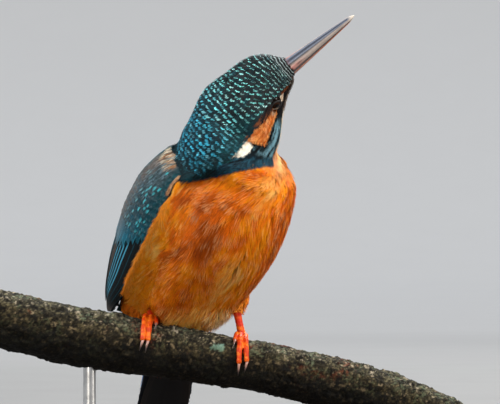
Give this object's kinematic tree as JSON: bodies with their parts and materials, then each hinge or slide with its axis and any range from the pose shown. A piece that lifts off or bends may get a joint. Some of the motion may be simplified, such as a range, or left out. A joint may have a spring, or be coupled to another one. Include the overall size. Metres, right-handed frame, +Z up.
{
  "type": "kingfisher model",
  "caption": "Life-size common kingfisher gripping a cut length of branch, head turned and bill raised, on a plain display stand.",
  "frame": {"origin": "centre of the stand's underside", "axes": "+Z up; +X along the perch's fall and the bill's side; -Y the side the breast turns to"},
  "size_m": [0.1917, 0.092, 0.1889],
  "materials": {
    "plumage_teal": "dark blue-green feathers barred and spotted with turquoise",
    "plumage_orange": "soft orange breast feathers",
    "flight_feathers": "dark folded feathers with blue-green edges",
    "bill_horn": "dark horn with a pale grey side, satin",
    "bill_orange": "orange-red horn, satin",
    "eye": "wet dark brown eye",
    "leg_skin": "scaly orange-red skin",
    "claw_horn": "dark horn claws",
    "bark": "rough dark bark with lichen",
    "base_wood": "dark stained wood, satin",
    "rod_steel": "brushed steel rod"
  },
  "bodies": {
    "root": {"perch": "bark", "stand_base": "base_wood", "stand_rod_left_end": "rod_steel", "stand_rod_right_end": "rod_steel", "bill_upper": "bill_horn", "bill_lower": "bill_orange", "head": "plumage_teal", "eye_right": "eye", "eye_left": "eye", "neck": "plumage_teal", "breast": "plumage_orange", "belly": "plumage_orange", "shank_right": "leg_skin", "foot_right": "leg_skin", "shank_left": "leg_skin", "foot_left": "leg_skin", "thigh_right": "plumage_orange", "thigh_left": "plumage_orange", "wing_right": "flight_feathers", "wing_left": "flight_feathers", "tail": "flight_feathers", "claw_right_outer": "claw_horn", "claw_right_middle": "claw_horn", "claw_right_inner": "claw_horn", "claw_right_hind": "claw_horn", "claw_left_outer": "claw_horn", "claw_left_middle": "claw_horn", "claw_left_inner": "claw_horn", "claw_left_hind": "claw_horn"}
  },
  "joints": []
}
